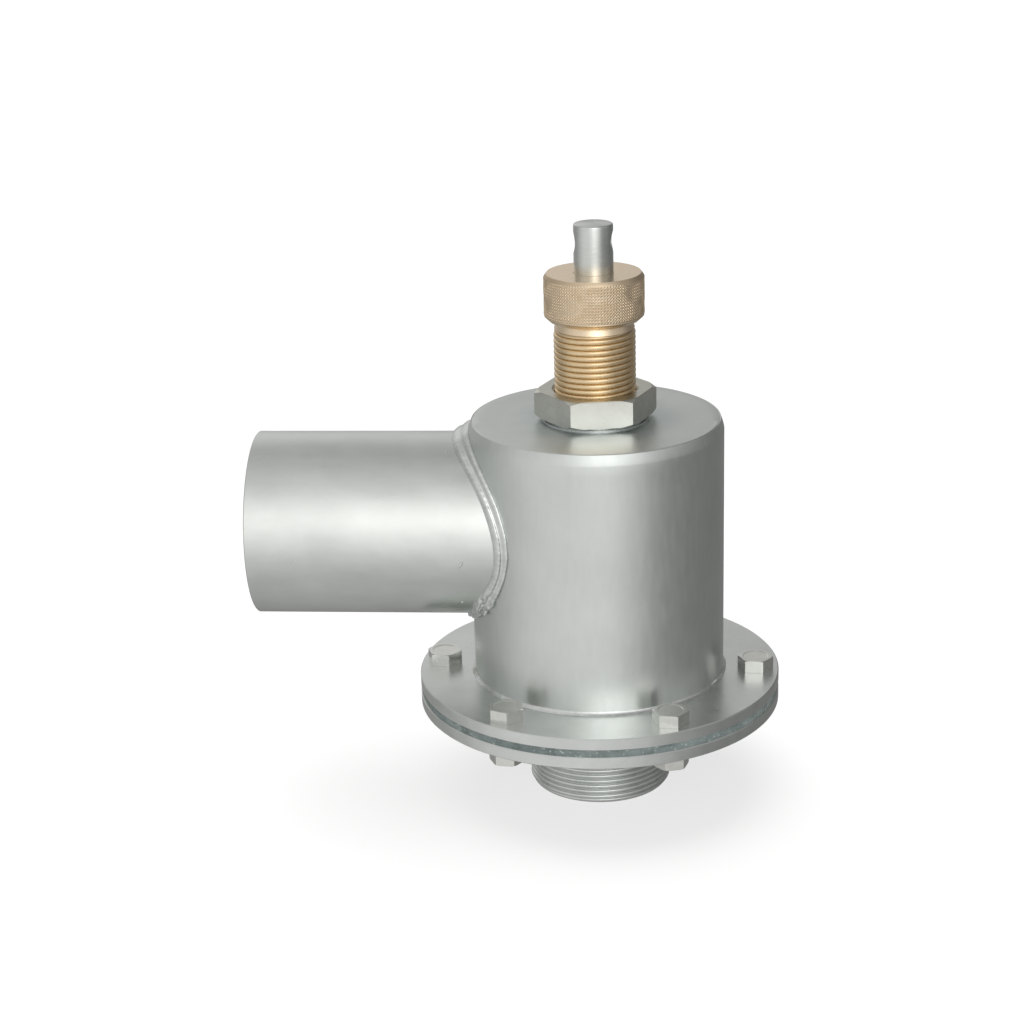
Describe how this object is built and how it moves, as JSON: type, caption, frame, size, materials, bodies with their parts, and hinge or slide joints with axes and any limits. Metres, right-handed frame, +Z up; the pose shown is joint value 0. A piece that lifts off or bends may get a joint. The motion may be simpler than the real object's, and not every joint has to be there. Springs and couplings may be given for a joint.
{
  "type": "safety valve",
  "caption": "Spring-loaded safety valve with a threaded inlet nipple below, a bolted flange joint, a welded side outlet pipe and a knurled brass adjusting screw with lock nut.",
  "frame": {"origin": "centre of the inlet nipple's lower face, which the valve stands on", "axes": "+Z up along the valve axis; the outlet pipe points along -X"},
  "size_m": [0.2173, 0.1516, 0.241],
  "materials": {
    "housing_steel": "satin blasted stainless",
    "pipe_steel": "brushed stainless",
    "flange_steel": "satin stainless plate",
    "weld_bead": "rippled weld bead",
    "thread_steel": "turned stainless",
    "fastener_steel": "bright stainless",
    "nut_steel": "ground stainless",
    "stem_steel": "turned stainless",
    "spring_steel": "drawn wire",
    "inner_steel": "turned stainless",
    "screw_brass": "turned and knurled brass",
    "gasket_sheet": "dark fibre sheet",
    "seal_rubber": "matte rubber",
    "ring_metal": "bright soft ring",
    "guide_plastic": "white bearing plastic"
  },
  "bodies": {
    "housing": {"inlet_nipple": "thread_steel", "nipple_weld": "weld_bead", "base_flange": "flange_steel", "flange_gasket": "gasket_sheet", "body_flange": "flange_steel", "flange_bolts": "fastener_steel", "flange_nuts": "fastener_steel", "housing_shell": "housing_steel", "flange_weld": "weld_bead", "outlet_pipe": "pipe_steel", "outlet_weld": "weld_bead", "top_boss": "inner_steel", "boss_weld": "weld_bead", "spring": "spring_steel"},
    "spring_foot": {"lower_spring_plate": "inner_steel"},
    "valve": {"valve_disc": "inner_steel", "disc_seal": "seal_rubber", "seal_retainer": "inner_steel", "retainer_nut": "fastener_steel", "stem": "stem_steel", "stem_clip": "spring_steel"},
    "spring_cap": {"upper_spring_plate": "inner_steel", "thrust_washer": "guide_plastic"},
    "adjuster": {"adjusting_screw": "screw_brass", "stem_bush": "guide_plastic", "stem_seal": "seal_rubber"},
    "nut_seal": {"lock_ring": "ring_metal"},
    "nut": {"lock_nut": "nut_steel"}
  },
  "joints": [
    {"name": "valve_lift", "type": "slide", "parent": "housing", "child": "spring_foot", "axis": [0, 0, 1], "range_m": [0, 0.01], "stiffness_N_per_m": 8000, "springref_m": -0.01, "deforming": ["spring"]},
    {"name": "stem_turn", "type": "hinge", "parent": "spring_foot", "child": "valve", "pos_m": [0, 0, 0.1], "axis": [0, 0, 1], "continuous": true},
    {"name": "screw_rise", "type": "slide", "parent": "housing", "child": "spring_cap", "axis": [0, 0, 1], "range_m": [-0.00924, 0.00462], "deforming": ["spring"]},
    {"name": "screw_turn", "type": "hinge", "parent": "spring_cap", "child": "adjuster", "pos_m": [0, 0, 0.15], "axis": [0, 0, 1], "range_deg": [-1442, 721]},
    {"name": "nut_rise", "type": "slide", "parent": "housing", "child": "nut_seal", "axis": [0, 0, 1], "range_m": [0, 0.00346]},
    {"name": "nut_turn", "type": "hinge", "parent": "nut_seal", "child": "nut", "pos_m": [0, 0, 0.167], "axis": [0, 0, 1], "range_deg": [0, 541]}
  ],
  "couplings": [
    {"joint": "screw_turn", "follows": "screw_rise", "rad_per_m": 2721.2},
    {"joint": "nut_turn", "follows": "nut_rise", "rad_per_m": 2721.2}
  ]
}
